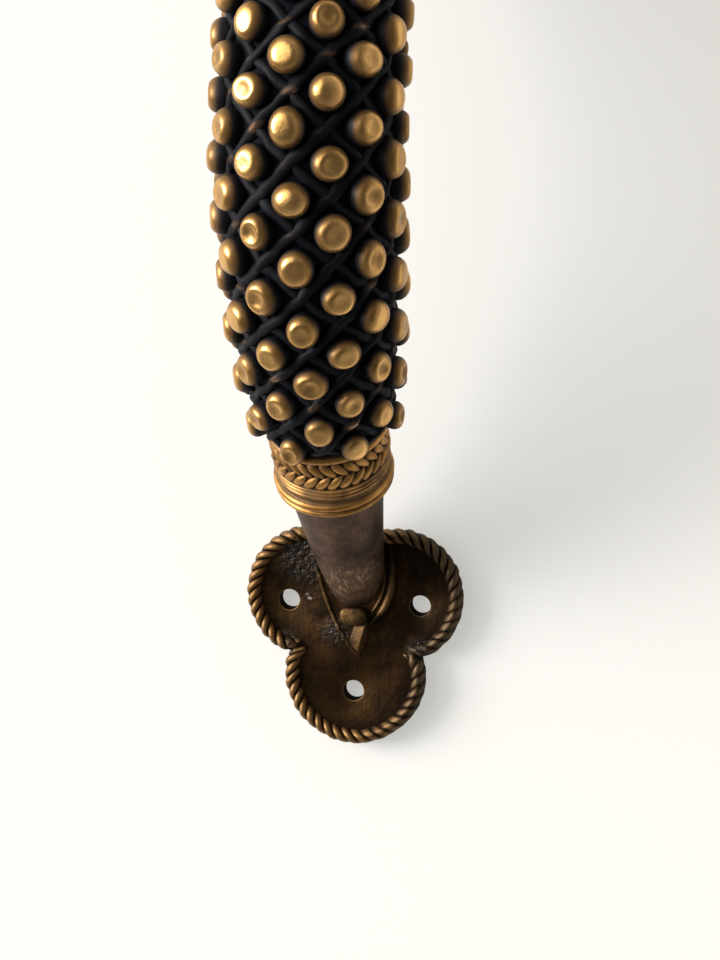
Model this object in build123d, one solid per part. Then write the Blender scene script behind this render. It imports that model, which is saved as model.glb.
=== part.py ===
from build123d import *
from math import cos, pi, radians, sin
import os

# A bowed, studded door pull on two trefoil plates, in three castings.
# Millimetres. +Z runs up the handle, the door is the plane Y = 0, and the front faces -Y.
# The origin is the middle of the screw holes, on the door plane.
# "Along" is the distance along the bow from its middle, positive towards the lower end.

# Bow of the handle
bow_height = 57.4
crown_radius = 80.0
crown_reach = 30.0
shoulder_radius = 172.0

# Grip body
grip_radius = 16.6
grip_end_radius = 13.5
grip_taper_power = 2.8

# Knobs and the net between them
knobs_per_ring = 7
rings_each_side = 11
ring_pitch = 5.53
first_knob_angle = -1.9
twist_per_mm = 0.165
knob_radius = 3.45
knob_end_radius = 2.8
knob_proud = 3.7
knob_end_proud = 2.7
knob_sides = 6
knob_foot_share = 0.88
knob_belly_share = 0.52
knob_crown_share = 0.5
pocket_depth = 1.1
strand_width = 1.4
net_end_radius = 11.2

# Collar, from its lip over the end of the net to its open mouth
lip_past_knobs = 2.17
lip_length = 1.5
lip_radius = 12.7
neck_radius = 11.7
braid_length = 7.7
reed_count = 3
reed_pitch = 0.95
reed_height = 0.45
cove_length = 1.3
roll_length = 3.4
roll_height = 0.85
roll_crown_share = 0.4
socket_depth = 10.4
socket_clearance = 0.15

# Braided band of two rows of slanted beads
braid_beads = 30
braid_bead_length = 3.6
braid_bead_width = 1.5
braid_bead_height = 0.75
braid_lean = 50.0

# Stem, a round tapered bar
stem_radius = 10.1
stem_root_radius = 5.7
stem_knee_along = 100.0
stem_root_along = 121.0

# Trefoil plate
side_lobe_radius = 15.0
side_lobe_x = 9.1
side_lobe_z = 101.7
end_lobe_radius = 15.5
end_lobe_z = 119.6
plate_thickness = 3.9
rim_width = 3.6
rim_height = 0.8

# Screw holes
hole_radius = 2.25
hole_x = 14.5
hole_z = 103.5
end_hole_z = 123.1

# Twisted rope on the rim
rope_pitch = 2.45
rope_strand_length = 3.0
rope_strand_width = 1.75
rope_strand_height = 1.15
rope_lean = 38.0
# Angles from +X where the rope starts and stops on each lobe
right_lobe_rope = (95.0, -62.0)
left_lobe_rope = (242.0, 85.0)
end_lobe_rope = (14.0, -194.0)
bead_sink = 0.3
bead_ridge_share = 0.45

# Leaf moulding, button and drop at the root of the stem
leaf_half_width = 8.9
leaf_shoulder_z = 94.0
leaf_waist_x = 5.4
leaf_waist_z = 103.5
leaf_top_z = 90.5
leaf_tip_z = 115.4
leaf_height = 1.0
button_half_length = 3.1
button_half_width = 2.2
button_z = 105.6
button_height = 3.4
drop_top_z = 107.4
drop_shoulder_z = 110.4
drop_half_width = 2.6
drop_height = 2.0
facet_taper = 35.0

grip_reach = (rings_each_side + 1) * ring_pitch
lip_along = rings_each_side * ring_pitch + lip_past_knobs
collar_length = lip_length + braid_length + reed_count * reed_pitch + cove_length + roll_length
mouth_along = lip_along + collar_length


def station(along):
    """Local plane of the bow: x across the door, y to the front, z towards the lower end."""
    side = 1 if along >= 0 else -1
    reach = abs(along)
    crown_angle = crown_reach / crown_radius
    if reach <= crown_reach:
        slope = reach / crown_radius
        out = bow_height - crown_radius * (1 - cos(slope))
        down = crown_radius * sin(slope)
    else:
        slope = crown_angle + (reach - crown_reach) / shoulder_radius
        out = bow_height - crown_radius * (1 - cos(crown_angle))
        out -= shoulder_radius * (cos(crown_angle) - cos(slope))
        down = crown_radius * sin(crown_angle)
        down += shoulder_radius * (sin(slope) - sin(crown_angle))
    tangent = (0, side * sin(slope), -cos(slope))
    return Plane(origin=(0, -out, -side * down), x_dir=(1, 0, 0), z_dir=tangent)


def body_radius(along):
    """Radius over the net at a place along the bow."""
    share = min(abs(along) / grip_reach, 1.0)
    return grip_radius - (grip_radius - grip_end_radius) * share**grip_taper_power


def column_angle(column, along):
    """Angle from the front, in radians, of a column of knobs, which winds slowly round the grip."""
    return radians(first_knob_angle + twist_per_mm * along + column * 180.0 / knobs_per_ring)


def around(frame, radius, angle, height=0.0):
    """Point at a radius and an angle from the front in a local plane."""
    return frame.from_local_coords(Vector(radius * sin(angle), radius * cos(angle), height))


def crossing(column, ring):
    """Where two strands of the net cross. The outermost crossings lie inside the collars."""
    along = ring * ring_pitch
    radius = net_end_radius if abs(ring) > rings_each_side else body_radius(along)
    return around(station(along), radius, column_angle(column, along))


def flat_face(*points):
    """Flat face through points."""
    return Face(Wire.make_polygon(points, close=True))


def knob_seat(column, ring):
    """Plane on the floor of a mesh: x across, y along the bow, z outwards."""
    along = ring * ring_pitch
    angle = column_angle(column, along)
    frame = station(along)
    outward = around(frame, 1.0, angle) - frame.origin
    across = around(frame, 1.0, angle + pi / 2) - frame.origin
    floor_radius = body_radius(along) - pocket_depth
    return Plane(origin=around(frame, floor_radius, angle), x_dir=across, z_dir=outward)


def knob_level(seat, radius, height):
    """Corners of one level of a knob."""
    angles = [2 * pi * side / knob_sides for side in range(knob_sides)]
    return [around(seat, radius, angle, height) for angle in angles]


def knob_skin(seat, ring, room):
    """Flank, belly and crown of one knob, with the outline of its foot, within the room in its mesh."""
    share = (ring / rings_each_side) ** 2
    radius = knob_radius + (knob_end_radius - knob_radius) * share
    radius = min(radius, room / knob_foot_share)
    height = pocket_depth + knob_proud + (knob_end_proud - knob_proud) * share
    foot = knob_level(seat, radius * knob_foot_share, 0)
    belly = knob_level(seat, radius, height * knob_belly_share)
    crown = knob_level(seat, radius * knob_crown_share, height)
    faces = [flat_face(*crown)]
    for lower, upper in ((foot, belly), (belly, crown)):
        for side in range(knob_sides):
            after = (side + 1) % knob_sides
            faces.append(flat_face(lower[side], lower[after], upper[after], upper[side]))
    return faces, foot


def sloped_ring(outer, inner):
    """Triangles between two outlines that both start straight across and run the same way round."""
    faces = []
    outer_step = 0
    inner_step = 0
    while outer_step < len(outer) or inner_step < len(inner):
        outer_point = outer[outer_step % len(outer)]
        inner_point = inner[inner_step % len(inner)]
        if inner_step * len(outer) <= outer_step * len(inner):
            inner_step += 1
            faces.append(flat_face(outer_point, inner[inner_step % len(inner)], inner_point))
        else:
            outer_step += 1
            faces.append(flat_face(outer_point, outer[outer_step % len(outer)], inner_point))
    return faces


def mesh_skin(column, ring):
    """One mesh of the net with its knob: the strands slope down to the knob's foot."""
    seat = knob_seat(column, ring)
    corners = [
        crossing(column + 1, ring),
        crossing(column, ring + 1),
        crossing(column - 1, ring),
        crossing(column, ring - 1),
    ]
    crests = [seat.to_local_coords(corner) for corner in corners]
    flat = [Vector(crest.X, crest.Y, 0) for crest in crests]
    sides = [(flat[side], flat[(side + 1) % 4]) for side in range(4)]
    room = min(abs(start.cross(end).Z) / (end - start).length for start, end in sides)
    faces, foot = knob_skin(seat, ring, room - strand_width)
    return faces + sloped_ring(corners, foot)


def end_skin(side):
    """Closes the net at one end: half meshes and an end face, inside the collar."""
    last = side * rings_each_side
    columns = 2 * knobs_per_ring
    rim = [crossing(column, last + side) for column in range(columns)]
    faces = [flat_face(*rim)]
    for column in range(columns):
        after = (column + 1) % columns
        if (column + last) % 2:
            top = crossing(column, last)
            faces.append(flat_face(top, rim[column], rim[column - 1]))
            faces.append(flat_face(top, rim[column], rim[after]))
    return faces


def studded_body():
    """The net with its knobs between the collars, as one closed skin."""
    faces = end_skin(1) + end_skin(-1)
    for ring in range(-rings_each_side, rings_each_side + 1):
        for column in range(2 * knobs_per_ring):
            if (column + ring) % 2 == 0:
                faces += mesh_skin(column, ring)
    return Solid(Shell(faces)).fix()


def bead(length, width, height):
    """Low bar that rises to a ridge along its length, sunk a little into what carries it."""
    full = height + bead_sink
    inset = length * (1 - bead_ridge_share) / 2
    align = (Align.CENTER, Align.MIN, Align.CENTER)
    bar = Wedge(length, full, width, inset, width / 2, length - inset, width / 2, align=align)
    return Rot(X=90) * bar.moved(Pos(0, -bead_sink, 0))


def collar_frame():
    """Plane of the lower collar: its origin at the lip, z towards the mouth."""
    middle = station(lip_along + collar_length / 2)
    return middle.offset(-collar_length / 2)


def collar_profile():
    """Half section of the collar in its own plane: lip, band, reeds, cove and rolled flange."""
    points = [(0, 0), (lip_radius, 0), (neck_radius, lip_length)]
    place = lip_length + braid_length
    under_band = neck_radius - reed_height
    points += [(under_band, lip_length), (under_band, place), (neck_radius, place)]
    for _ in range(reed_count):
        points += [(neck_radius + reed_height, place + reed_pitch / 2), (neck_radius, place + reed_pitch)]
        place += reed_pitch
    roll_radius = neck_radius + roll_height
    shoulder = roll_length * (1 - roll_crown_share) / 2
    place += cove_length
    points += [(roll_radius, place + shoulder), (roll_radius, collar_length - shoulder)]
    points += [(neck_radius, collar_length), (0, collar_length)]
    return points


def lower_collar():
    """Collar with its braided band and the socket that takes the stem."""
    half_section = Plane.XZ * make_face(Polyline(*collar_profile(), close=True))
    band = RegularPolygon(neck_radius, braid_beads, major_radius=False)
    ring = revolve(half_section, Axis.Z) + Pos(0, 0, lip_length) * extrude(band, braid_length)
    socket = extrude(Circle(stem_radius + socket_clearance), socket_depth)
    ring -= Pos(0, 0, collar_length - socket_depth) * socket
    beads = []
    for row in (-1, 1):
        height = lip_length + braid_length / 2 + row * braid_length / 4
        for index in range(braid_beads):
            angle = (index + 0.5) * 360.0 / braid_beads
            seat = Rot(Z=angle) * Pos(neck_radius, 0, height) * Rot(Y=90) * Rot(Z=row * braid_lean)
            beads.append(seat * bead(braid_bead_length, braid_bead_width, braid_bead_height))
    return collar_frame().location * (ring + beads)


def make_grip():
    """Net, knobs and both collars in one casting."""
    collar = lower_collar()
    return studded_body() + collar + mirror(collar, about=Plane.XY)


def trefoil(inset):
    """Outline of the three lobes on the door plane, z up the handle."""
    outline = Pos(0, -end_lobe_z) * Circle(end_lobe_radius - inset)
    for x in (-side_lobe_x, side_lobe_x):
        outline += Pos(x, -side_lobe_z) * Circle(side_lobe_radius - inset)
    return outline


def on_door(sketch, height=0.0):
    """Lays a sketch on the door, or at a height in front of it, facing the room."""
    return Plane(origin=(0, -height, 0), x_dir=(1, 0, 0), z_dir=(0, -1, 0)) * sketch


def rope_strands():
    """Strands of the twisted rope that runs on the rim of each lobe."""
    rim_top = plate_thickness + rim_height
    lobes = [
        (side_lobe_x, side_lobe_z, side_lobe_radius, right_lobe_rope),
        (-side_lobe_x, side_lobe_z, side_lobe_radius, left_lobe_rope),
        (0.0, end_lobe_z, end_lobe_radius, end_lobe_rope),
    ]
    strands = []
    for centre_x, centre_z, lobe_radius, (start, stop) in lobes:
        radius = lobe_radius - rim_width / 2
        count = round(radius * radians(start - stop) / rope_pitch)
        for index in range(count):
            angle = start + (stop - start) * (index + 0.5) / count
            seat = Plane.XZ.location * Pos(centre_x, -centre_z, rim_top) * Rot(Z=angle) * Pos(radius, 0, 0)
            strand = bead(rope_strand_length, rope_strand_width, rope_strand_height)
            strands.append(seat * Rot(Z=-rope_lean) * strand)
    return strands


def stem():
    """Round tapered bar from the collar's socket down to the door plane, rounded where it bends."""
    from_base = (Align.CENTER, Align.CENTER, Align.MIN)
    taper = (stem_radius - stem_root_radius) / (stem_root_along - mouth_along)
    mouth = collar_frame().offset(collar_length)
    bar = mouth * extrude(Circle(stem_radius), -socket_depth)
    start = mouth.origin
    start_radius = stem_radius
    for along in (stem_knee_along, stem_root_along):
        end = station(along).origin
        end_radius = stem_radius - taper * (along - mouth_along)
        run = end - start
        seat = Plane(origin=start, x_dir=(1, 0, 0), z_dir=run)
        bar += seat * Cone(start_radius, end_radius, run.length, align=from_base)
        bar += seat * Sphere(start_radius)
        start = end
        start_radius = end_radius
    return bar


def leaf():
    """Pointed leaf moulding round the root of the stem."""
    tip = (0, -leaf_tip_z)
    right_shoulder = (leaf_half_width, -leaf_shoulder_z)
    left_shoulder = (-leaf_half_width, -leaf_shoulder_z)
    edges = [
        ThreePointArc(tip, (leaf_waist_x, -leaf_waist_z), right_shoulder),
        ThreePointArc(right_shoulder, (0, -leaf_top_z), left_shoulder),
        ThreePointArc(left_shoulder, (-leaf_waist_x, -leaf_waist_z), tip),
    ]
    return extrude(on_door(make_face(edges)), plate_thickness + leaf_height)


def button():
    """Flattened oval button at the foot of the stem."""
    oval = Pos(0, -button_z) * SlotOverall(2 * button_half_length, 2 * button_half_width)
    return extrude(on_door(oval), plate_thickness + button_height)


def drop():
    """Faceted pointed drop below the button."""
    left = (-drop_half_width, -drop_shoulder_z)
    right = (drop_half_width, -drop_shoulder_z)
    kite = Polygon((0, -drop_top_z), left, (0, -leaf_tip_z), right, align=None)
    return extrude(on_door(kite, plate_thickness), drop_height, taper=facet_taper)


def screw_hole(x, z):
    """Through hole for a screw."""
    return extrude(on_door(Pos(x, -z) * Circle(hole_radius)), plate_thickness)


def make_lower_bracket():
    """Plate, rope border, leaf, button, drop and stem in one casting."""
    rim_top = plate_thickness + rim_height
    bracket = extrude(on_door(trefoil(0)), rim_top)
    bracket -= extrude(on_door(trefoil(rim_width), plate_thickness), rim_top)
    bracket += rope_strands()
    door = Plane(origin=(0, 0, -side_lobe_z), z_dir=(0, 1, 0))
    behind_door = door * extrude(Circle(bow_height), bow_height)
    for piece in (stem() - behind_door, leaf(), button(), drop()):
        bracket += piece
    for x, z in ((-hole_x, hole_z), (hole_x, hole_z), (0, end_hole_z)):
        bracket -= screw_hole(x, z)
    return bracket


lower_bracket = make_lower_bracket()
parts = {
    "grip": make_grip(),
    "lower_bracket": lower_bracket,
    "upper_bracket": mirror(lower_bracket, about=Plane.XY),
}
os.makedirs("parts", exist_ok=True)
for name, shape in parts.items():
    export_step(shape, f"parts/{name}.step")
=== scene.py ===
import random
from math import atan, atan2, cos, degrees, hypot, pi, radians, sin, sqrt

import bmesh
import bpy
from mathutils import Matrix, Vector, noise
from mathutils.geometry import interpolate_bezier


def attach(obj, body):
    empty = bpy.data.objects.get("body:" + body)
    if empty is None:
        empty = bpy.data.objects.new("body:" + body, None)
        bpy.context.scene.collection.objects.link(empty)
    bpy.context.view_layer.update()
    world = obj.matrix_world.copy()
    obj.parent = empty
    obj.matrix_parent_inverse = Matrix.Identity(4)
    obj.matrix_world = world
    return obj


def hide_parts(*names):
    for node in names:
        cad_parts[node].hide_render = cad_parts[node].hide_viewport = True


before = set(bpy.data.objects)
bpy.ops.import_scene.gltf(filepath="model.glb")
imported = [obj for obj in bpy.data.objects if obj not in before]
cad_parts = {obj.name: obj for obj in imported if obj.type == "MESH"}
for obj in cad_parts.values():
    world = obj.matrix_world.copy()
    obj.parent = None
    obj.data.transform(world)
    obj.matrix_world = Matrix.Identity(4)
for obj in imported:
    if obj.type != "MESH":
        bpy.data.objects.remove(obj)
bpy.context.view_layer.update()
chance = random.Random(7)

# The sizes are millimetres and degrees, as in the solids. Each mesh is brought to metres when it
# is finished, while the lights, the camera and all distances in the finishes are metres.
# Local planes of the bow have x across, y to the front and z along, positive to the lower end.
to_metres = 0.001

# Bow of the handle
bow_height = 57.4
crown_radius = 80.0
crown_reach = 30.0
shoulder_radius = 172.0

# Grip body
grip_radius = 16.6
grip_end_radius = 13.5
grip_taper_power = 2.8

# Pattern of the knobs
knobs_per_ring = 7
rings_each_side = 11
ring_pitch = 5.53
first_knob_angle = -1.9
twist_per_mm = 0.165

# Net, which tucks under the collar's lip beyond its edge
net_edge = 60.2
net_tuck = 0.16
floor_depth = 1.25
strand_radius = 1.1
strand_steps = 150
crossing_lift = 0.3
strand_lumps = 0.6
lumps_per_mm = 0.33
worn_spots_per_mm = 0.21

# So far apart that samples of one noise have nothing in common
sample_gap = 17.3

# Knobs in the middle and at the end of the grip, and how deep their feet go below the floor
knob_radius = 4.05
knob_end_radius = 3.3
knob_proud = 3.65
knob_end_proud = 2.65
knob_foot_share = 0.85
knob_sink = 0.4
knob_shoulder_share = 0.05
knob_crown_share = 0.96

# Angles up a knob's profile, and where the worn hollow starts and is full
knob_angles = (0, 20, 38, 52, 66, 79, 90)
hollow_angles = (46, 86)

# Least and most by which the knobs differ
radius_spread = (0.94, 1.02)
height_spread = (0.94, 1.0)
hollow_spread = (0.2, 1.4)
stretch_spread = (0.92, 1.08)
lean_spread = (-0.12, 0.12)

# Collar, from its lip over the end of the net to its mouth
lip_along = 63.0
lip_length = 2.1
lip_radius = 12.7
band_radius = 11.5
neck_radius = 11.7
reed_count = 3
reed_pitch = 0.95
reed_width_share = 0.9
reed_height = 0.42
cove_radius = 11.6
cove_length = 1.3
roll_seat_radius = 11.55
roll_length = 1.85
roll_height = 1.0
rim_length = 1.55
rim_height = 0.8
socket_radius = 10.25
socket_depth = 7.5

# Relief that the collar's finish sees: its depth, how much duller the lip is, and the least
collar_relief = 0.85
lip_dullness = 0.5
least_proud_band = 0.12
least_proud_rings = 0.35

# Braid on the collar's band, of two rows of leaves, each leaf's size as half lengths
braid_length = 7.1
braid_row_share = 0.22
braid_seat_radius = 11.6
leaves_per_row = 30
braid_leaf_size = (2.35, 1.08, 0.82)
braid_leaf_taper = 0.35
braid_lean = 48

# Stem, which stops short of the door inside the plate
stem_radius = 10.1
stem_root_radius = 5.7
stem_root_along = 121.0
stem_stop = 0.5

# Trefoil plate: each lobe is (x, z, radius, where its rope starts and stops, in degrees from +X)
right_lobe = (9.1, -101.7, 15.0, 120.0, -76.0)
left_lobe = (-9.1, -101.7, 15.0, 256.0, 60.0)
end_lobe = (0.3, -119.25, 15.8, 24.0, -205.0)
lobes = (right_lobe, left_lobe, end_lobe)
plate_inset = 0.9
field_height = 3.9
hole_radius = 2.25
hole_chamfer = 0.3
holes = ((-14.5, -103.5), (14.5, -103.5), (0.0, -123.1))

# Twisted rope on the rim
rope_inset = 1.76
rope_height = 3.2
rope_flatness = 1.52
rope_strands = 3
rope_lay = 7.35
rope_helix = 0.84
rope_strand_radius = 0.88
rope_steps_per_mm = 2.5
rope_wobble = 0.24
rope_wobbles_per_mm = 0.45

# Ends of the rope, and where it is worn flat, in degrees from +X
rope_end_fullness = 0.6
rope_taper_length = 6.0
rope_curl = 1.6
rope_curl_length = 5.0
rope_wear = 0.8
worn_rope_share = 0.93
wear_starts = (25, -5)
wear_stops = (-100, -70)

# Leaf at the root of the stem. Each path is a curve's two ends and handles, as (x, z) on the plate.
leaf_left = ((-9.2, -92.5), (-7.6, -99.5), (-4.6, -109.8), (1.3, -115.5))
leaf_right = ((7.4, -89.5), (9.3, -98.0), (8.6, -104.5), (2.9, -108.2))
leaf_inner = ((5.9, -92.0), (7.5, -98.5), (6.6, -103.3), (2.2, -107.2))
leaf_step = 0.45

# Ridges of the leaf: path, radius at the fullest, height of the middle over the plate
leaf_ridges = ((leaf_left, 0.7, 0.2), (leaf_right, 1.1, 0.35), (leaf_inner, 0.5, 0.55))
ridge_end_share = 0.4

# Button, with its size as half lengths, and drop, with its ridge's ends as (x, height, z)
button_place = (0.25, -5.6, -106.1)
button_size = (3.1, 1.5, 2.1)
button_squareness = 0.5
button_flatness = 0.33
drop_outline = ((-1.85, -112.3), (-0.2, -107.4), (3.4, -107.4), (2.7, -113.5), (1.4, -115.7))
drop_head = (2.9, 2.0, -107.4)
drop_chin = (1.0, 1.2, -113.9)
drop_bevel = 0.14

# Colours, linear
black_patina = (0.0035, 0.0035, 0.0060)
brown_patina = (0.030, 0.016, 0.007)
gold = (0.82, 0.475, 0.168)
old_gold = (0.34, 0.18, 0.055)
copper = (0.34, 0.20, 0.115)
dull_copper = (0.11, 0.07, 0.05)
groove_brown = (0.082, 0.045, 0.016)
collar_gold = (0.72, 0.385, 0.116)
old_collar_gold = (0.33, 0.158, 0.041)
field_dark = (0.0130, 0.0066, 0.0026)
field_brown = (0.068, 0.034, 0.0098)
rope_gold = (0.25, 0.142, 0.056)
worn_rope = (0.118, 0.078, 0.046)
pit_black = (0.006, 0.0035, 0.002)
# Light grey of the painted glint beside the left hole
scratch_glint_grey = (0.36, 0.31, 0.25)
stem_dark = (0.038, 0.021, 0.0155)
stem_brown = (0.165, 0.096, 0.057)
scuff_gold = (0.50, 0.335, 0.21)

# Pitted places on the plate: x, z, and the distances where they end and are full, in metres
pits_height = 4
pits = (
    (-10.5, -94, 0.009, 0.003),
    (-3.5, -110.5, 0.005, 0.001),
    (-14.5, -113.5, 0.004, 0.001),
    (14.5, -113.5, 0.004, 0.001),
)
# Place of the painted glint beside the left hole, as off a small scratch
scratch_glint_place = (-9.9, -4, -102.3)
scuffed_foot = (0.5, -12.5, -99)

# Ground, as other pieces see it and as the camera does, with a glow that keeps it near white
ground_size = 3.0
ground_gap = 0.0002
ground_pale = (0.80, 0.79, 0.765, 1)
ground_seen = (0.45, 0.445, 0.427, 1)
ground_glow = (1.0, 0.99, 0.945, 1)
ground_glow_strength = 0.465

# Lamp, and the room that the metal reflects: dim by the viewer, light beside, a bright window
lamp_place = (-4.3, -2.38, 0.92)
lamp_target = (0, -0.03, -0.06)
lamp_size = 2.3
lamp_power = 340.0
room_dim = (0.11, 0.108, 0.104)
room_light = (0.46, 0.455, 0.445)
window_way = (-0.71, -0.57, 0.41)
window_bright = (2.7, 2.58, 2.38)

# Camera, from the right, turned left and tipped down
camera_place = (0.101696, -0.545242, 0.007435)
camera_yaw = 10.55
camera_tip = 8.66
camera_roll = 0.75
camera_lens = 96.6
camera_film_height = 36.0

grip_reach = (rings_each_side + 1) * ring_pitch
flange_length = cove_length + roll_length + rim_length
collar_length = lip_length + braid_length + reed_count * reed_pitch + flange_length
mouth_along = lip_along + collar_length
knob_step = 2 * pi / knobs_per_ring
brackets = ("lower_bracket", "upper_bracket")


def smooth_step(low, high, value):
    """Rises smoothly from 0 at low to 1 at high, which may be the lesser of the two."""
    share = min(1.0, max(0.0, (value - low) / (high - low)))
    return share * share * (3 - 2 * share)


def bow(along):
    """How far out and how far down the bow's middle line is, and its slope, at a place along it."""
    side = 1 if along >= 0 else -1
    reach = abs(along)
    crown_angle = crown_reach / crown_radius
    if reach <= crown_reach:
        slope = reach / crown_radius
        out = bow_height - crown_radius * (1 - cos(slope))
        return out, side * crown_radius * sin(slope), side * slope
    slope = crown_angle + (reach - crown_reach) / shoulder_radius
    out = bow_height - crown_radius * (1 - cos(crown_angle))
    out -= shoulder_radius * (cos(crown_angle) - cos(slope))
    down = crown_radius * sin(crown_angle)
    down += shoulder_radius * (sin(slope) - sin(crown_angle))
    return out, side * down, side * slope


def bow_plane(along):
    """Matrix from the local plane at a place along the bow to the frame."""
    out, down, slope = bow(along)
    across = (1, 0, 0, 0)
    outward = (0, -cos(slope), sin(slope), -out)
    upward = (0, -sin(slope), -cos(slope), -down)
    return Matrix((across, outward, upward, (0, 0, 0, 1)))


def on_bow(place):
    """Bends a place that was shaped straight onto the bow."""
    return bow_plane(place.z) @ Vector((place.x, place.y, 0))


def body_radius(along):
    """Radius over the net."""
    share = min(abs(along) / grip_reach, 1.0)
    tuck = net_tuck * max(0.0, abs(along) - net_edge)**2
    return grip_radius - (grip_radius - grip_end_radius) * share**grip_taper_power - tuck


def wrapped(place, lift=0.0):
    """Fits a place, shaped straight at the grip's full radius, to its taper, twist and bow."""
    radius = body_radius(place.z) + hypot(place.x, place.y) - grip_radius + lift
    angle = atan2(place.x, place.y) + radians(twist_per_mm * place.z)
    return on_bow(Vector((radius * sin(angle), radius * cos(angle), place.z)))


def blank():
    """Empty mesh whose vertices can say how proud they stand, from 0 in hollows to 1 on crests."""
    bm = bmesh.new()
    bm.verts.layers.float.new("proud")
    return bm


def place_all(bm, mapping):
    """Moves each vertex to where mapping sends it, and stores how proud it stands."""
    proud = bm.verts.layers.float["proud"]
    for vert in bm.verts:
        vert.co, vert[proud] = mapping(vert.co)


def joined(parts):
    """One mesh of several."""
    whole = blank()
    for part in parts:
        mesh = bpy.data.meshes.new("part")
        part.to_mesh(mesh)
        part.free()
        whole.from_mesh(mesh)
        bpy.data.meshes.remove(mesh)
    return whole


def turned(profile, steps):
    """Turns a profile of (radius, height) points about Z."""
    bm = blank()
    points = [bm.verts.new((0.0, radius, height)) for radius, height in profile]
    edges = [bm.edges.new(pair) for pair in zip(points, points[1:])]
    outline = points + edges
    bmesh.ops.spin(bm, geom=outline, axis=(0, 0, 1), angle=2 * pi, steps=steps, use_merge=True)
    bmesh.ops.remove_doubles(bm, verts=bm.verts, dist=1e-4)
    return bm


def coil(matrix, radius, turn, length, steps):
    """Sweeps a circle, placed by a matrix, along a helix about Z."""
    bm = blank()
    bmesh.ops.create_circle(bm, segments=10, radius=radius, matrix=matrix)
    step = (0, 0, length / steps)
    geom = bm.verts[:] + bm.edges[:]
    bmesh.ops.contextual_create(bm, geom=bm.edges[:])
    swept = bmesh.ops.spin(bm, geom=geom, axis=(0, 0, 1), dvec=step, angle=turn, steps=steps)
    far_end = [item for item in swept["geom_last"] if isinstance(item, bmesh.types.BMEdge)]
    bmesh.ops.contextual_create(bm, geom=far_end)
    return bm


def bridged(matrices, sides):
    """Joins round sections, each a matrix that places a unit circle, into a closed bar."""
    bm = blank()
    loops = []
    for matrix in matrices:
        ring = bmesh.ops.create_circle(bm, segments=sides, radius=1.0, matrix=matrix)["verts"]
        loops.append(list({edge for vert in ring for edge in vert.link_edges}))
    for near, far in zip(loops, loops[1:]):
        bmesh.ops.bridge_loops(bm, edges=near + far)
    for end in (loops[0], loops[-1]):
        bmesh.ops.contextual_create(bm, geom=end)
    return bm


def carried(points, radii):
    """Round bar along points, with its radius at each."""
    matrices = []
    for index, (point, radius) in enumerate(zip(points, radii)):
        run = points[min(index + 1, len(points) - 1)] - points[max(index - 1, 0)]
        turn = run.to_track_quat("Z", "Y").to_matrix().to_4x4()
        swell = Matrix.Diagonal((radius, radius, 1, 1))
        matrices.append(Matrix.Translation(point) @ turn @ swell)
    return bridged(matrices, 10)


def raised(bm, faces, height):
    """Extrudes faces to the front, and returns the vertices that it moved there."""
    made = bmesh.ops.extrude_face_region(bm, geom=faces)["geom"]
    front = [item for item in made if isinstance(item, bmesh.types.BMVert)]
    bmesh.ops.translate(bm, vec=(0, -height, 0), verts=front)
    return front


def bevelled(bm, edges, width):
    """Rounds edges, and returns the vertices of the bevel."""
    settings = {"offset_type": "OFFSET", "segments": 2, "profile": 0.5, "material": -1}
    return bmesh.ops.bevel(bm, geom=edges, offset=width, affect="EDGES", **settings)["verts"]


def at_both_ends(bm, name, finish, nodes, sharp=None):
    """Makes a piece of the lower end and its mirror image at the upper end."""
    upper = bm.copy()
    bmesh.ops.scale(upper, vec=(1, 1, -1), verts=upper.verts)
    finished(bm, "lower_" + name, finish, nodes[0], sharp=sharp)
    finished(upper, "upper_" + name, finish, nodes[1], sharp=sharp)


def finished(bm, name, finish, node, rounding=0, sharp=None):
    """Makes the piece's object in metres, on the body and in place of its solid."""
    bmesh.ops.recalc_face_normals(bm, faces=bm.faces)
    bmesh.ops.scale(bm, vec=(to_metres, to_metres, to_metres), verts=bm.verts)
    mesh = bpy.data.meshes.new(name)
    bm.to_mesh(mesh)
    bm.free()
    mesh.shade_smooth()
    if sharp:
        mesh.set_sharp_from_angle(angle=radians(sharp))
    mesh.materials.append(finish)
    piece = bpy.data.objects.new(name, mesh)
    bpy.context.scene.collection.objects.link(piece)
    if rounding:
        smooth = piece.modifiers.new("Rounding", "SUBSURF")
        smooth.levels = rounding
        smooth.render_levels = rounding
    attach(piece, "root")
    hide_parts(node)


class Value:
    """A socket in a finish. Python's operators on it add Math nodes."""

    def __init__(self, finish, socket):
        self.finish = finish
        self.socket = socket

    def math(self, operation, *others):
        """A Math node on this value and others."""
        return self.finish.node("Math", [self, *others], operation=operation)

    def __add__(self, other):
        return self.math("ADD", other)

    def __sub__(self, other):
        return self.math("SUBTRACT", other)

    def __rsub__(self, other):
        return self.finish.node("Math", [other, self], operation="SUBTRACT")

    def __mul__(self, other):
        return self.math("MULTIPLY", other)

    __radd__ = __add__

    def between(self, low, high):
        """Rises smoothly from 0 at low to 1 at high."""
        sockets = {"Value": self, "From Min": low, "From Max": high}
        return self.finish.node("MapRange", sockets, interpolation_type="SMOOTHSTEP")


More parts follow.
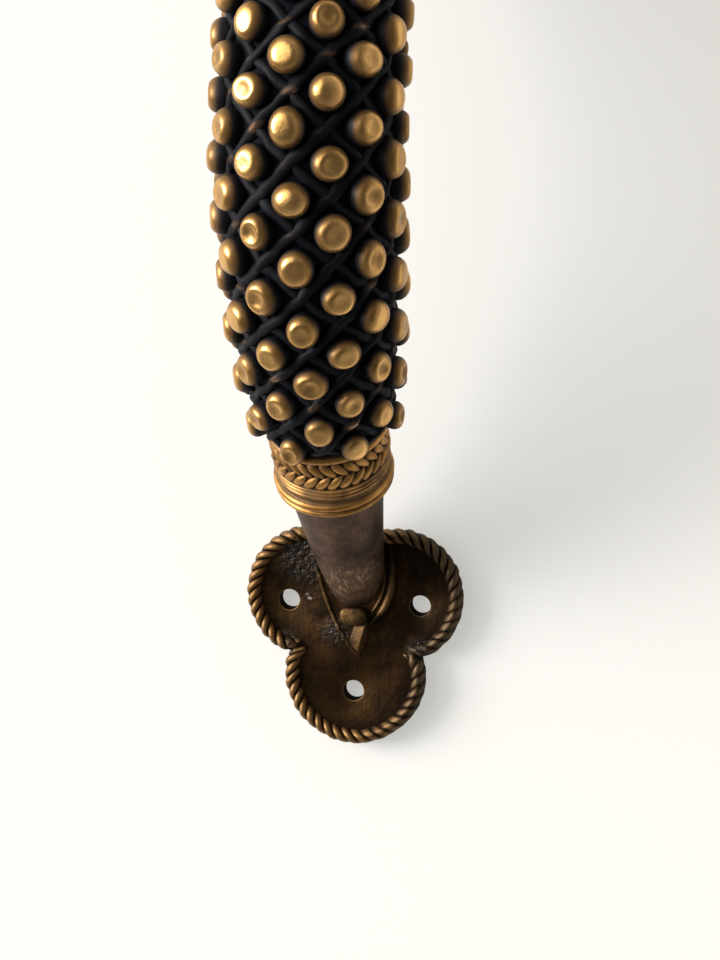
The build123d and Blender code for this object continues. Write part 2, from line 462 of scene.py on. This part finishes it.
class Finish:
    """A material, or the world, under construction."""

    def __init__(self, name, owner=None):
        self.owner = owner or bpy.data.materials.new(name)
        self.owner.use_nodes = True
        self.tree = self.owner.node_tree
        self.tree.nodes.clear()
        self.place = self.node("TexCoord", output="Generated" if owner else "Object")

    def node(self, kind, sockets=None, output=0, **settings):
        """Adds a node, sets it and its sockets, and returns one of its outputs."""
        node = self.tree.nodes.new("ShaderNode" + kind)
        for name, setting in settings.items():
            setattr(node, name, setting)
        pairs = sockets.items() if isinstance(sockets, dict) else enumerate(sockets or [])
        for name, value in pairs:
            if isinstance(value, Value):
                self.tree.links.new(value.socket, node.inputs[name])
            elif value is not None:
                node.inputs[name].default_value = value
        return Value(self, node.outputs[output])

    def noise(self, scale, detail, stretch=None, roughness=0.5, swirl=0.0):
        """Noise about 0.5, with its scale in features per metre."""
        place = self.place
        if stretch:
            place = self.node("Mapping", {"Vector": place, "Scale": stretch})
        sockets = {"Vector": place, "Scale": scale, "Detail": detail}
        sockets |= {"Roughness": roughness, "Distortion": swirl}
        return self.node("TexNoise", sockets)

    def proud(self):
        """How proud the surface stands, as stored in the mesh."""
        return self.node("Attribute", output="Fac", attribute_name="proud")

    def mix(self, factor, first, second):
        """Mixes two colours."""
        first, second = [(*c, 1.0) if isinstance(c, tuple) else c for c in (first, second)]
        return self.node("Mix", {0: factor, 6: first, 7: second}, output=2, data_type="RGBA")

    def axis(self, name):
        """One coordinate, in metres in a material."""
        return self.node("SeparateXYZ", [self.place], output=name)

    def near(self, x, y, z):
        """Metres from a place at the lower end, given in millimetres, or from its mirror image."""
        place = (x / 1000, y / 1000, z / 1000)
        folded = [self.axis("X"), self.axis("Y"), self.axis("Z").math("ABSOLUTE") * -1.0]
        pair = [self.node("CombineXYZ", folded), place]
        return self.node("VectorMath", pair, output="Value", operation="DISTANCE")

    def largest(self, values):
        """The largest of several values."""
        first, *others = values
        for other in others:
            first = first.math("MAXIMUM", other)
        return first

    def bump(self, height, distance, strength, under=None):
        """Normal of a relief, over another."""
        sockets = {"Height": height, "Distance": distance, "Strength": strength, "Normal": under}
        return self.node("Bump", sockets)

    def surface(self, colour, roughness, metallic, normal, sheen=0.5):
        """Ends the finish with its shader. Sheen is how strongly bare patina reflects."""
        sockets = {"Base Color": colour, "Roughness": roughness, "Metallic": metallic}
        sockets |= {"Normal": normal, "Specular IOR Level": sheen}
        return self.ended(self.node("BsdfPrincipled", sockets))

    def ended(self, shader, kind="Material"):
        """Joins the shader to the output."""
        end = self.tree.nodes.new("ShaderNodeOutput" + kind)
        self.tree.links.new(shader.socket, end.inputs["Surface"])
        return self.owner


def studded_finish(name, bright, dull, sheen):
    """Black patina, rubbed bright where the surface stands proud."""
    f = Finish(name)
    proud = f.proud()
    grain = f.noise(900, 5)
    patches = f.noise(140, 3)
    rubbed = (proud + (patches - 0.5) * 0.3 + (grain - 0.5) * 0.12).between(0.2, 0.86)
    edge = (proud + (patches - 0.5) * 0.35).between(0.1, 0.4)
    rubbed_bare = (proud + (f.noise(260, 3) - 0.5) * 0.4).between(0.58, 0.94)
    colour = f.mix(edge, black_patina, brown_patina)
    colour = f.mix(rubbed, colour, f.mix(rubbed_bare, dull, bright))
    roughness = 0.62 - rubbed * 0.375 + (grain - 0.5) * 0.12
    casting = f.bump(f.noise(420, 3), 0.00025, 0.45)
    normal = f.bump(f.noise(2200, 4), 0.00005, 0.5, casting)
    return f.surface(colour, roughness, rubbed, normal, sheen)


def collar_finish():
    """Gold on the crests, brown in the grooves and on the lip."""
    f = Finish("collar_bronze")
    patches = f.noise(200, 4)
    grain = f.noise(1200, 5)
    rubbed = (f.proud() + (patches - 0.5) * 0.5 + (grain - 0.5) * 0.2).between(0.12, 0.95)
    bright = f.mix(patches.between(0.35, 0.75), old_collar_gold, collar_gold)
    colour = f.mix(rubbed, groove_brown, bright)
    roughness = 0.50 - rubbed * 0.05 + (grain - 0.5) * 0.15
    normal = f.bump(f.noise(1600, 4), 0.00008, 0.5)
    return f.surface(colour, roughness, 0.35 + rubbed * 0.65, normal)


def plate_finish():
    """Dark brown patina with golden-brown mottles and brush marks, pits, and bright crests."""
    f = Finish("plate_bronze")
    mottles = f.noise(130, 6, roughness=0.62)
    brushed = f.noise(600, 5, (3.2, 1.0, 0.22))
    grain = f.noise(1500, 5)

    # Painted shade: darker along each lobe's edge, under the rope, and by the stem than in the open
    # field. It is also darker over the lower half of the lower plate's end lobe
    depths = [radius / 1000 - f.near(x, -field_height, z) for x, z, radius, _, _ in lobes]
    depth = f.largest(depths)
    unshaded_field = (depth + (mottles - 0.5) * 0.006).between(0.003, 0.0085)
    tone = (mottles * 0.84 + brushed * 0.16).between(0.36, 0.68) * (0.25 + unshaded_field * 0.75)
    tone = tone * (0.72 + f.axis("Z").between(-0.121, -0.109) * 0.28)
    colour = f.mix(tone, field_dark, field_brown)

    # Rubbed crests, duller on the right, where the rope is worn flat
    crest = (f.proud() + (mottles - 0.5) * 0.5 + (grain - 0.5) * 0.25).between(0.35, 0.9)
    worn_side = f.axis("X").between(0.003, 0.017)
    colour = f.mix(crest, colour, f.mix(worn_side, rope_gold, worn_rope))

    # Black glossy pits, and a painted glint, light grey, as off a small scratch beside the left
    # hole
    pitted = f.largest([f.near(x, -pits_height, z).between(end, full) for x, z, end, full in pits])
    lumps = f.noise(780, 3, roughness=0.55)
    colour = f.mix(pitted * (0.45 + lumps.between(0.6, 0.4) * 0.55), colour, pit_black)
    scratch_glint = f.near(*scratch_glint_place).between(0.0013, 0.0003) * lumps.between(0.5, 0.6)
    colour = f.mix(scratch_glint, colour, scratch_glint_grey)

    normal = f.bump(lumps * pitted, 0.0009, 0.8)
    normal = f.bump(f.noise(700, 5, roughness=0.65), 0.0004, 0.3, normal)
    normal = f.bump(grain + brushed * 0.5, 0.0001, 0.5, normal)
    roughness = 0.45 + (grain - 0.5) * 0.2 + crest * 0.12 - pitted * 0.12
    metallic = 0.84 + crest * 0.14 - pitted * 0.55
    return f.surface(colour, roughness, metallic, normal, 0.3)


def stem_finish():
    """Satin purple-brown with mottles and fine scratches, scuffed bright at its foot."""
    f = Finish("stem_bronze")
    mottles = f.noise(160, 6, roughness=0.62)
    scratches = f.noise(800, 4, (4.0, 1.0, 0.22))
    foot = f.near(*scuffed_foot).between(0.0125, 0.003)
    tone = mottles * 0.7 + scratches * 0.3 + foot * (scratches - 0.25) * 0.5
    colour = f.mix(tone.between(0.36, 0.74), stem_dark, stem_brown)
    scuffs = f.noise(480, 5, (2.2, 1.0, 0.45), 0.62, 0.7).between(0.50, 0.64)
    colour = f.mix(foot * (0.12 + scuffs * 0.78), colour, scuff_gold)
    roughness = 0.5 + (scratches - 0.5) * 0.25
    normal = f.bump(scratches, 0.00015, 0.5, f.bump(mottles, 0.0004, 0.35))
    return f.surface(colour, roughness, 0.78, normal, 0.25)


def net_core(finish):
    """Dark floor under the net."""
    end = lip_along + lip_length
    rings = 96
    radius = grip_radius - floor_depth
    heights = [end * (2 * index / rings - 1) for index in range(rings + 1)]
    profile = [(0, -end)] + [(radius, height) for height in heights] + [(0, end)]
    bm = turned(profile, 42)
    place_all(bm, lambda place: (wrapped(place), 0.0))
    finished(bm, "net_floor", finish, "grip")


def lumpy(place):
    """Shifts a place of a strand a little, by three samples of one noise."""
    samples = [place * lumps_per_mm + Vector((sample_gap * axis, 0, 0)) for axis in range(3)]
    return place + Vector([noise.noise(sample) for sample in samples]) * strand_lumps


def over(place):
    """Fits a strand of the upper family, which rises at each crossing, where wear shows."""
    at_crossing = 0.5 + 0.5 * cos(2 * pi * place.z / ring_pitch)
    outer = max(0.0, 1 + hypot(place.x, place.y) - grip_radius)
    worn = 0.35 + 1.5 * noise.noise(place * worn_spots_per_mm)
    proud = max(0.0, at_crossing**8 * outer * worn)
    return wrapped(lumpy(place), crossing_lift * at_crossing**2), proud


def under(place):
    """Fits a strand of the lower family."""
    return wrapped(lumpy(place), -crossing_lift / 2), 0.0


def net(finish):
    """Two families of round strands that cross midway between the knobs."""
    reach = lip_along + lip_length
    lead = atan(grip_radius * knob_step / 2 / ring_pitch)
    turn = 2 * reach / ring_pitch * knob_step / 2
    to_start = Matrix.Translation((0, grip_radius - strand_radius, -reach))
    strands = []
    for way, fitted in ((1, under), (-1, over)):
        for index in range(knobs_per_ring):
            crossing = radians(first_knob_angle) + (index + 0.5) * knob_step
            matrix = Matrix.Rotation(way * turn / 2 - crossing, 4, "Z") @ to_start
            matrix = matrix @ Matrix.Rotation(way * lead, 4, "Y")
            strand = coil(matrix, strand_radius, -way * turn, 2 * reach, strand_steps)
            place_all(strand, fitted)
            strands.append(strand)
    finished(joined(strands), "net_strands", finish, "grip")


def knob_seat(column, ring):
    """Matrix that stands a knob on the net's level."""
    along = ring * ring_pitch
    angle = radians(first_knob_angle + twist_per_mm * along) + column * knob_step / 2
    across = (cos(angle), -sin(angle), 0, 0)
    outward = (sin(angle), cos(angle), 0, 0)
    seat = Matrix((across, (0, 0, -1, 0), outward, (0, 0, 0, 1))).transposed()
    level = Matrix.Translation(Vector(outward[:3]) * body_radius(along))
    return bow_plane(along) @ level @ seat


def knob(column, ring):
    """One knob, a little different from the next, with a worn hollow in its crown."""
    share = (ring / rings_each_side) ** 2
    radius = knob_radius + (knob_end_radius - knob_radius) * share
    radius *= chance.uniform(*radius_spread)
    height = knob_proud + (knob_end_proud - knob_proud) * share
    height *= chance.uniform(*height_spread)
    hollow = chance.uniform(*hollow_spread)
    profile = [(radius * knob_foot_share, -floor_depth - knob_sink)]
    for angle in knob_angles:
        dent = hollow * smooth_step(*hollow_angles, angle)
        rise = height * (knob_shoulder_share + knob_crown_share * sin(radians(angle)))
        profile.append((radius * cos(radians(angle)), rise - dent))
    stretch = chance.uniform(*stretch_spread)
    lean = Vector((chance.uniform(*lean_spread), chance.uniform(*lean_spread), 0))
    seat = knob_seat(column, ring)

    def seated(place):
        """Stretches the knob, leans it and places it on the grip."""
        shaped = Vector((place.x * stretch, place.y / stretch, place.z))
        return seat @ (shaped + lean * max(place.z, 0)), place.z / height

    bm = turned(profile, 12)
    place_all(bm, seated)
    return bm


def knobs(finish):
    """All knobs, in rings that are staggered by half a step."""
    parts = []
    for ring in range(-rings_each_side, rings_each_side + 1):
        parts += [knob(column, ring) for column in range(ring % 2, 2 * knobs_per_ring, 2)]
    finished(joined(parts), "knobs", finish, "grip", rounding=1)


def half_round(radius, start, width, height, points):
    """Points of a rounded bead on a turned profile."""
    angles = [pi * index / points for index in range(points + 1)]
    return [(radius + height * sin(a), start + width * (1 - cos(a)) / 2) for a in angles]


def collar_profile():
    """Lip, band, reeds, cove, roll, rim and socket."""
    profile = [(0.0, 0.0)]
    profile += half_round(band_radius, 0, lip_length, lip_radius - band_radius, 8)
    place = lip_length + braid_length
    profile.append((band_radius, place))
    for _ in range(reed_count):
        profile += half_round(neck_radius, place, reed_pitch * reed_width_share, reed_height, 6)
        place += reed_pitch
    profile += [(cove_radius, place + 0.2), (cove_radius, place + cove_length * 0.7)]
    place += cove_length
    profile += half_round(roll_seat_radius, place, roll_length, roll_height, 10)
    profile += half_round(roll_seat_radius, place + roll_length, rim_length, rim_height, 10)
    socket_floor = collar_length - socket_depth
    profile += [(socket_radius, collar_length - 0.1), (socket_radius, socket_floor)]
    profile.append((0.0, socket_floor))
    return profile


def braid_leaf(matrix):
    """One leaf of the braid, fuller at one end."""
    length, width, height = braid_leaf_size
    bm = blank()
    bmesh.ops.create_uvsphere(bm, u_segments=8, v_segments=6, radius=1.0)
    for vert in bm.verts:
        x, y, z = vert.co
        taper = 1.0 - braid_leaf_taper * z
        vert.co = matrix @ Vector((z * length, x * width * taper, y * height))
    return bm


def collar(finish):
    """Collar with its braid of two rows of leaves."""
    middle = lip_along + collar_length / 2
    seat_of_collar = bow_plane(middle) @ Matrix.Translation((0, 0, -collar_length / 2))
    parts = [turned(collar_profile(), 96)]
    for row in (-1, 1):
        height = lip_length + braid_length / 2 + row * braid_length * braid_row_share
        seat = Matrix.Translation((0, braid_seat_radius, height))
        seat = seat @ Matrix.Rotation(radians(-90), 4, "X")
        seat = seat @ Matrix.Rotation(radians(row * braid_lean), 4, "Z")
        for index in range(leaves_per_row):
            angle = (index + 0.25 * row) * 2 * pi / leaves_per_row
            parts.append(braid_leaf(Matrix.Rotation(-angle, 4, "Z") @ seat))
    bm = joined(parts)

    def seated(place):
        """Places the collar on the bow. Its lip is dull, and its rings are never quite brown."""
        proud = (hypot(place.x, place.y) - braid_seat_radius) / collar_relief
        proud -= lip_dullness * smooth_step(lip_length, lip_length * 0.8, place.z)
        in_rings = place.z > lip_length + braid_length
        least = least_proud_rings if in_rings else least_proud_band
        return seat_of_collar @ place, max(least, proud)

    place_all(bm, seated)
    at_both_ends(bm, "collar", finish, ("grip", "grip"))


def on_lobe(place, lobe, radius):
    """Bends a straight rope, x outwards, y to the front and z along, round a lobe.

    Its ends taper and curl inwards, and it is worn flat where it faces right and down.
    """
    x, z, _, start, stop = lobe
    angle = radians(start) - place.z / radius
    to_end = max(0.0, min(place.z, radius * radians(start - stop) - place.z))
    fullness = min(1.0, rope_end_fullness + to_end / rope_taper_length)
    curl = rope_curl * (1 - min(1.0, to_end / rope_curl_length)) ** 2
    facing = smooth_step(*wear_starts, degrees(angle)) * smooth_step(*wear_stops, degrees(angle))
    worn = facing * rope_wear
    full = rope_helix + rope_strand_radius
    out = hypot(place.x, place.y)
    shrink = fullness * (1 + worn * (full * worn_rope_share / max(out, 0.9) - 1))
    uneven = rope_wobble * noise.noise(Vector((x, z, place.z * rope_wobbles_per_mm)))
    reach = radius + place.x * shrink - curl + uneven
    rise = rope_height + place.y * shrink * rope_flatness
    proud = (out - 1.0) / (full - 1.0) * (1 - worn * 0.3)
    return Vector((x + reach * cos(angle), -rise, z + reach * sin(angle))), proud


def rope(finish):
    """Three-strand rope round the rim of each lobe."""
    lead = atan(2 * pi * rope_helix / rope_lay)
    start = Matrix.Translation((rope_helix, 0, 0)) @ Matrix.Rotation(-lead, 4, "X")
    strands = []
    for lobe in lobes:
        radius = lobe[2] - rope_inset
        length = radius * radians(lobe[3] - lobe[4])
        turn = 2 * pi * length / rope_lay
        steps = round(length * rope_steps_per_mm)
        for index in range(rope_strands):
            matrix = Matrix.Rotation(2 * pi * index / rope_strands, 4, "Z") @ start
            strand = coil(matrix, rope_strand_radius, turn, length, steps)
            place_all(strand, lambda place: on_lobe(place, lobe, radius))
            strands.append(strand)
    at_both_ends(joined(strands), "rope", finish, brackets)


def lobe_meeting(first, second):
    """Corner where the outlines of two lobes cross, to the left of the way between them."""
    (x1, z1, r1), (x2, z2, r2) = first, second
    gap = hypot(x2 - x1, z2 - z1)
    along = (gap**2 + r1**2 - r2**2) / (2 * gap)
    aside = sqrt(r1**2 - along**2)
    ux, uz = (x2 - x1) / gap, (z2 - z1) / gap
    return Vector((x1 + along * ux - aside * uz, 0, z1 + along * uz + aside * ux))


def arc(bm, lobe, start, stop, steps):
    """Spins one vertex round a lobe, clockwise, from one corner to the next."""
    x, z, _ = lobe
    first = atan2(start.z - z, start.x - x)
    last = atan2(stop.z - z, stop.x - x)
    turn = (first - last) % (2 * pi)
    seed = bm.verts.new(start)
    bmesh.ops.spin(bm, geom=[seed], cent=(x, 0, z), axis=(0, 1, 0), angle=turn, steps=steps)


def plate(finish):
    """Trefoil plate with its holes, whose front edges are bevelled and bright."""
    bm = blank()
    right, left, end = [(x, z, radius - plate_inset) for x, z, radius, _, _ in lobes]
    top, right_notch = lobe_meeting(left, right), lobe_meeting(right, end)
    left_notch = lobe_meeting(end, left)
    arc(bm, right, top, right_notch, 40)
    arc(bm, end, right_notch, left_notch, 48)
    arc(bm, left, left_notch, top, 40)
    bmesh.ops.remove_doubles(bm, verts=bm.verts, dist=1e-3)
    for x, z in holes:
        matrix = Matrix.Translation((x, 0, z)) @ Matrix.Rotation(radians(90), 4, "X")
        bmesh.ops.create_circle(bm, segments=40, radius=hole_radius, matrix=matrix)
    bmesh.ops.triangle_fill(bm, edges=bm.edges[:], use_beauty=True)
    front = raised(bm, bm.faces[:], field_height)

    mouths = [Vector((x, -field_height, z)) for x, z in holes]
    at_hole = set()
    for vert in front:
        if min((vert.co - mouth).length for mouth in mouths) < hole_radius + 0.1:
            at_hole.add(vert)
    short = [edge for edge in bm.edges if edge.calc_length() < hole_radius]
    chamfer = bevelled(bm, [edge for edge in short if set(edge.verts) <= at_hole], hole_chamfer)
    proud = bm.verts.layers.float["proud"]
    for vert in chamfer:
        vert[proud] = 1.0 if 0.01 < vert.co.y + field_height < hole_chamfer * 0.9 else 0.0
    at_both_ends(bm, "plate", finish, brackets, sharp=30)


def curve(path, height):
    """Points along a moulding's path, at a height over the door."""
    return interpolate_bezier(*[Vector((x, -height, z)) for x, z in path], 14)


def moulding(path, fullest, height):
    """Rounded ridge on the plate, fullest at its middle."""
    points = curve(path, height)
    swells = [sin(pi * (index + 0.5) / len(points)) for index in range(len(points))]
    shares = [ridge_end_share + (1 - ridge_end_share) * swell for swell in swells]
    bm = carried(points, [fullest * share for share in shares])
    place_all(bm, lambda p: (p, 0.1 + 0.55 * max(0.0, (-p.y - height) / fullest)))
    return bm


def leaf(finish):
    """Pointed leaf under the root of the stem, a low step edged with ridges."""
    bm = blank()
    outline = curve(leaf_left, field_height) + curve(leaf_right, field_height)[::-1]
    face = bm.faces.new([bm.verts.new(point) for point in outline])
    raised(bm, [face], leaf_step)
    ridges = [moulding(path, fullest, field_height + rise) for path, fullest, rise in leaf_ridges]
    at_both_ends(joined([bm, *ridges]), "leaf", finish, brackets, sharp=40)


def button(finish):
    """Flattened oval button at the foot of the stem."""
    bm = blank()
    bmesh.ops.create_uvsphere(bm, u_segments=32, v_segments=20, radius=1.0)
    width, depth, height = button_size

    def squared(place):
        """Squares the round outline a little, and flattens the face."""
        fuller = 1 + button_squareness * (place.x * place.z) ** 2
        flatter = abs(place.y) ** button_flatness * (1 if place.y > 0 else -1)
        shaped = Vector((place.x * fuller * width, flatter * depth, place.z * fuller * height))
        return shaped + Vector(button_place), max(0.0, -flatter) * 0.6

    place_all(bm, squared)
    at_both_ends(bm, "button", finish, brackets)


def drop(finish):
    """Faceted drop below the button, with a bright ridge."""
    bm = blank()
    base = [bm.verts.new((x, -field_height, z)) for x, z in drop_outline]
    left, top_left, top_right, right, tip = base
    heads = [(x, -field_height - rise, z) for x, rise, z in (drop_head, drop_chin)]
    head, chin = [bm.verts.new(place) for place in heads]
    faces = (
        (top_left, left, head),
        (left, chin, head),
        (left, tip, chin),
        (tip, right, chin),
        (right, top_right, head, chin),
        (top_right, top_left, head),
        base,
    )
    for corners in faces:
        bm.faces.new(corners)
    folds = [edge for edge in bm.edges if not set(edge.verts) <= set(base)]
    bevelled(bm, [edge for edge in folds if set(edge.verts) != {left, head}], drop_bevel)
    place_all(bm, lambda p: (p, 0.3 + 0.14 * (-p.y - field_height)))
    at_both_ends(bm, "drop", finish, brackets, sharp=25)


def stem(finish):
    """Round tapered bar from the collar's socket to the plate."""
    stations = 40
    seat = mouth_along - socket_depth
    matrices = []
    for index in range(stations + 1):
        along = seat + (stem_root_along - seat) * index / stations
        share = max(0.0, (along - mouth_along) / (stem_root_along - mouth_along))
        radius = stem_radius + (stem_root_radius - stem_radius) * share
        matrices.append(bow_plane(along) @ Matrix.Diagonal((radius, radius, 1, 1)))
    bm = bridged(matrices, 64)
    geom = bm.verts[:] + bm.edges[:] + bm.faces[:]
    cut = {"plane_co": (0, -stem_stop, 0), "plane_no": (0, 1, 0), "clear_outer": True}
    bmesh.ops.bisect_plane(bm, geom=geom, **cut)
    at_both_ends(bm, "stem", finish, brackets, sharp=40)


def stage():
    """Pale ground behind the handle, near white with its shadow, and see-through from behind."""
    bm = bmesh.new()
    upright = Matrix.Rotation(radians(90), 4, "X")
    bmesh.ops.create_grid(bm, x_segments=1, y_segments=1, size=ground_size, matrix=upright)
    bmesh.ops.translate(bm, vec=(0, ground_gap, 0), verts=bm.verts)
    mesh = bpy.data.meshes.new("ground")
    bm.to_mesh(mesh)
    bm.free()
    f = Finish("ground")
    pale = f.node("BsdfDiffuse", {"Color": ground_pale})
    seen = f.node("BsdfDiffuse", {"Color": ground_seen})
    glow = f.node("Emission", {"Color": ground_glow, "Strength": ground_glow_strength})
    lit = f.node("AddShader", [seen, glow])
    shader = f.node("MixShader", [f.node("LightPath", output="Is Camera Ray"), pale, lit])
    from_behind = f.node("NewGeometry", output="Backfacing")
    shader = f.node("MixShader", [from_behind, shader, f.node("BsdfTransparent")])
    mesh.materials.append(f.ended(shader))
    ground = bpy.data.objects.new("ground", mesh)
    bpy.context.scene.collection.objects.link(ground)


def lights():
    """One soft lamp from the left, and the room that the metal reflects."""
    light = bpy.data.lights.new("window", "AREA")
    light.size = lamp_size
    light.energy = lamp_power
    lamp = bpy.data.objects.new("window", light)
    lamp.location = lamp_place
    aim = Vector(lamp_target) - Vector(lamp_place)
    lamp.rotation_euler = aim.to_track_quat("-Z", "Y").to_euler()
    bpy.context.scene.collection.objects.link(lamp)

    room = Finish("room", bpy.data.worlds.new("room"))
    colour = room.mix(room.axis("Y").between(-1.0, -0.1), room_dim, room_light)
    ways = [room.place, window_way]
    to_window = room.node("VectorMath", ways, output="Value", operation="DOT_PRODUCT")
    colour = room.mix(to_window.between(0.7, 0.97), colour, window_bright)
    bpy.context.scene.world = room.ended(room.node("Background", {"Color": colour}), "World")


def camera():
    """Stands where the photograph was taken from."""
    data = bpy.data.cameras.new("camera")
    data.sensor_fit = "VERTICAL"
    data.sensor_height = camera_film_height
    data.lens = camera_lens
    viewer = bpy.data.objects.new("camera", data)
    turn = Matrix.Rotation(radians(camera_yaw), 4, "Z")
    turn = turn @ Matrix.Rotation(radians(90 - camera_tip), 4, "X")
    turn = turn @ Matrix.Rotation(radians(camera_roll), 4, "Z")
    viewer.matrix_world = Matrix.Translation(camera_place) @ turn
    bpy.context.scene.collection.objects.link(viewer)
    bpy.context.scene.camera = viewer


camera()
lights()
stage()
knob_bronze = studded_finish("knob_bronze", gold, old_gold, 0.3)
net_bronze = studded_finish("net_bronze", copper, dull_copper, 0.15)
plate_bronze = plate_finish()
net_core(studded_finish("pocket_bronze", copper, dull_copper, 0.04))
net(net_bronze)
knobs(knob_bronze)
collar(collar_finish())
plate(plate_bronze)
leaf(plate_bronze)
button(plate_bronze)
drop(plate_bronze)
rope(plate_bronze)
stem(stem_finish())

bpy.context.scene.view_settings.view_transform = "Standard"
